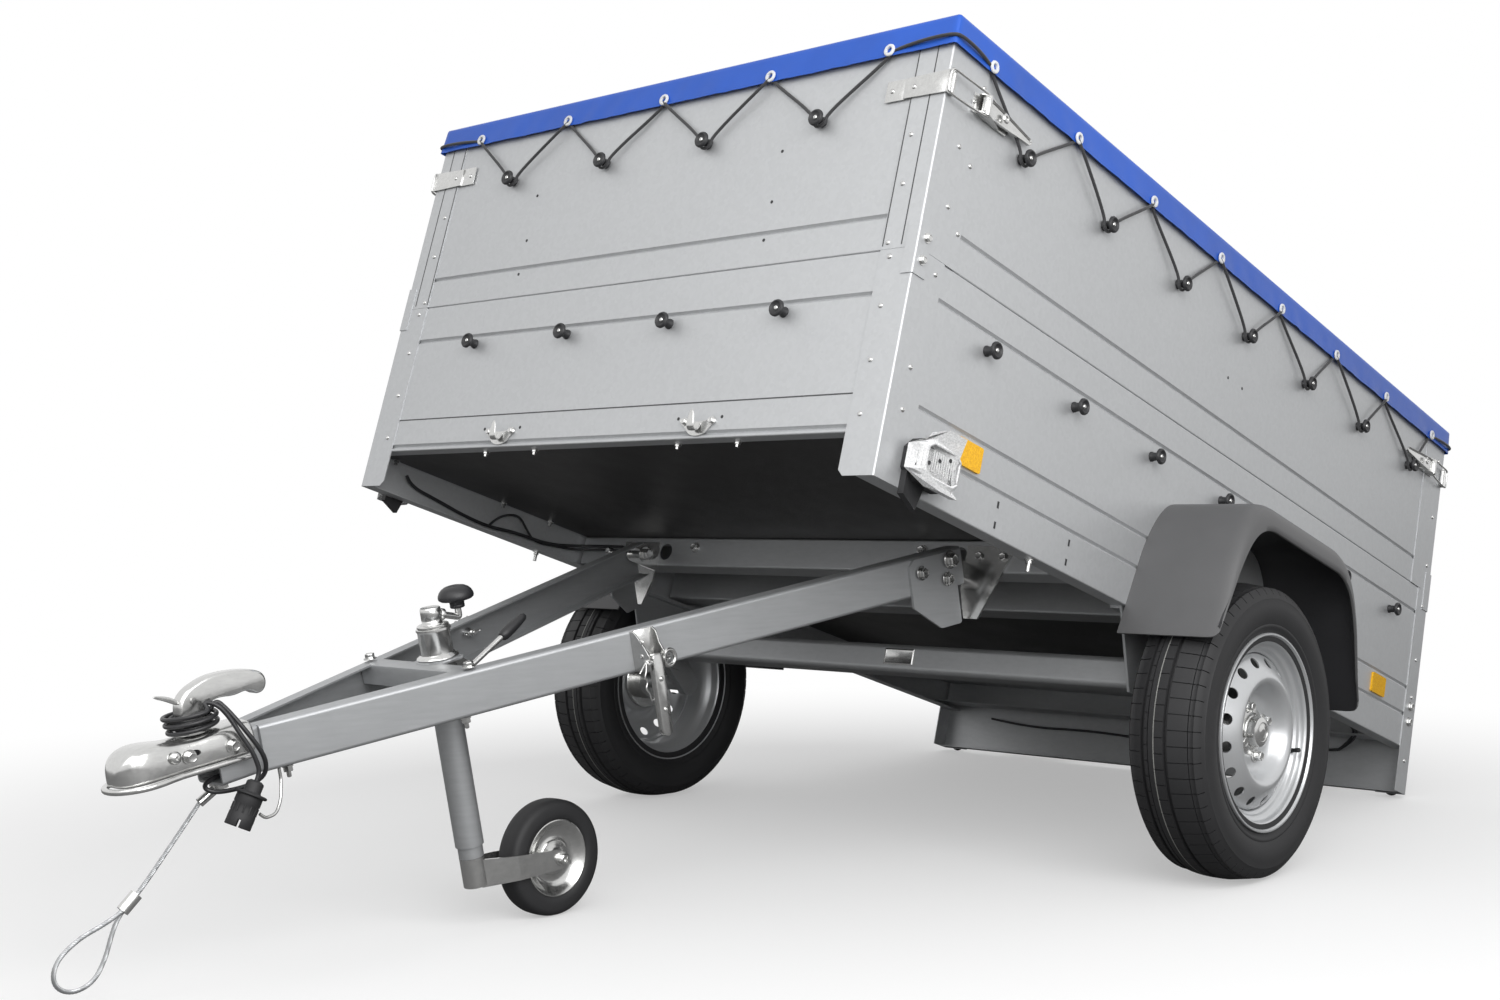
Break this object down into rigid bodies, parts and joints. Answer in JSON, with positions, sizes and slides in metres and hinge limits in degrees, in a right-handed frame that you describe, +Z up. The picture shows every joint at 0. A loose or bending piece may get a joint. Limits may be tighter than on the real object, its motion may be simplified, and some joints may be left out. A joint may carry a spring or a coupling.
{
  "type": "utility trailer",
  "caption": "Small single-axle box trailer with raised metal sides and a flat cover, its bed tipped back over a hinged V drawbar with ball coupling and jockey wheel.",
  "frame": {"origin": "on the floor, under the middle of the trailer's own bounding box", "axes": "+X forward to the coupling, +Y to the trailer's left, +Z up"},
  "size_m": [3.2021, 1.711, 1.4984],
  "materials": {
    "galvanised_board": "satin galvanised sheet",
    "galvanised_frame": "hot-dip galvanised steel",
    "zinc": "bright zinc plate",
    "wheel_silver": "satin silver lacquer",
    "plywood_film": "dark film-faced plywood",
    "black_plastic": "matt black moulding",
    "guard_plastic": "grained dark grey moulding",
    "black_rubber": "matt",
    "tyre_rubber": "matt",
    "cover_fabric": "coated tarpaulin, slight sheen",
    "amber_lens": "gloss",
    "clear_lens": "gloss",
    "red_lens": "gloss"
  },
  "bodies": {
    "bed": {"side_board_left": "galvanised_board", "side_board_right": "galvanised_board", "front_board": "galvanised_board", "upper_side_board_left": "galvanised_board", "upper_side_board_right": "galvanised_board", "upper_end_boards": "galvanised_board", "corner_posts_lower": "galvanised_board", "corner_posts_upper": "galvanised_board", "seam_plates": "galvanised_board", "floor_panel": "plywood_film", "crossbeams": "galvanised_frame", "rear_lamp_board": "galvanised_frame", "tail_lamps": "red_lens", "rear_buffers": "black_rubber", "tailgate_hinge_seats": "zinc", "cover": "cover_fabric", "lashing_knobs": "black_plastic", "marker_holders": "black_rubber", "marker_lamps": "clear_lens", "side_reflectors": "amber_lens", "front_hooks": "zinc", "corner_latches": "zinc", "axle_beam": "galvanised_frame", "axle_plates": "galvanised_frame", "axle_arms": "galvanised_frame", "mudguards": "guard_plastic", "hinge_brackets": "zinc"},
    "tailgate": {"tailgate": "galvanised_board", "tailgate_hinges": "zinc", "tailgate_knobs": "black_plastic"},
    "wheel_left": {"tyre_left": "tyre_rubber", "rim_left": "wheel_silver", "hub_left": "zinc"},
    "wheel_right": {"tyre_right": "tyre_rubber", "rim_right": "wheel_silver", "hub_right": "zinc"},
    "drawbar": {"drawbar_left": "galvanised_frame", "drawbar_right": "galvanised_frame", "bar_end_plates": "galvanised_frame", "pivot_bolts": "zinc", "cross_plate": "galvanised_frame", "jockey_clamp": "zinc", "jockey_outer_tube": "galvanised_frame", "jockey_crank": "zinc", "jockey_grips": "black_plastic", "bar_nose": "galvanised_frame", "coupling_head": "zinc", "coupling_handle": "zinc", "drawbar_latches": "zinc", "plug_holder": "zinc", "plug": "black_plastic", "lead_feed": "black_rubber", "lead_coil": "black_rubber", "lead_tail": "black_rubber", "safety_cable": "zinc", "cable_ferrules": "zinc"},
    "jockey_slide": {"jockey_slide": "galvanised_frame"},
    "jockey_swivel": {"jockey_fork": "zinc"},
    "jockey_wheel": {"jockey_rim": "zinc", "jockey_tyre": "black_rubber"}
  },
  "joints": [
    {"name": "tilt", "type": "hinge", "parent": "bed", "child": "drawbar", "pos_m": [0.15645, 0, 0.59934], "axis": [0, -1, 0], "range_deg": [0, 28.71]},
    {"name": "wheel_left_spin", "type": "hinge", "parent": "bed", "child": "wheel_left", "pos_m": [-0.25728, 0.7675, 0.2735], "axis": [0, 1, 0], "continuous": true},
    {"name": "wheel_right_spin", "type": "hinge", "parent": "bed", "child": "wheel_right", "pos_m": [-0.25728, -0.7675, 0.2735], "axis": [0, 1, 0], "continuous": true},
    {"name": "tailgate_hinge", "type": "hinge", "parent": "bed", "child": "tailgate", "pos_m": [-1.33925, 0, 0.16744], "axis": [0, -1, 0], "range_deg": [0, 100]},
    {"name": "jockey_height", "type": "slide", "parent": "drawbar", "child": "jockey_slide", "axis": [-0.1867, 0, -0.9824], "range_m": [-0.014, 0.18]},
    {"name": "jockey_turn", "type": "hinge", "parent": "jockey_slide", "child": "jockey_swivel", "pos_m": [0.92682, 0, 0.12717], "axis": [-0.1867, 0, -0.9824], "continuous": true},
    {"name": "jockey_wheel_spin", "type": "hinge", "parent": "jockey_swivel", "child": "jockey_wheel", "pos_m": [0.75676, 0, 0.1], "axis": [0, 1, 0], "continuous": true}
  ]
}
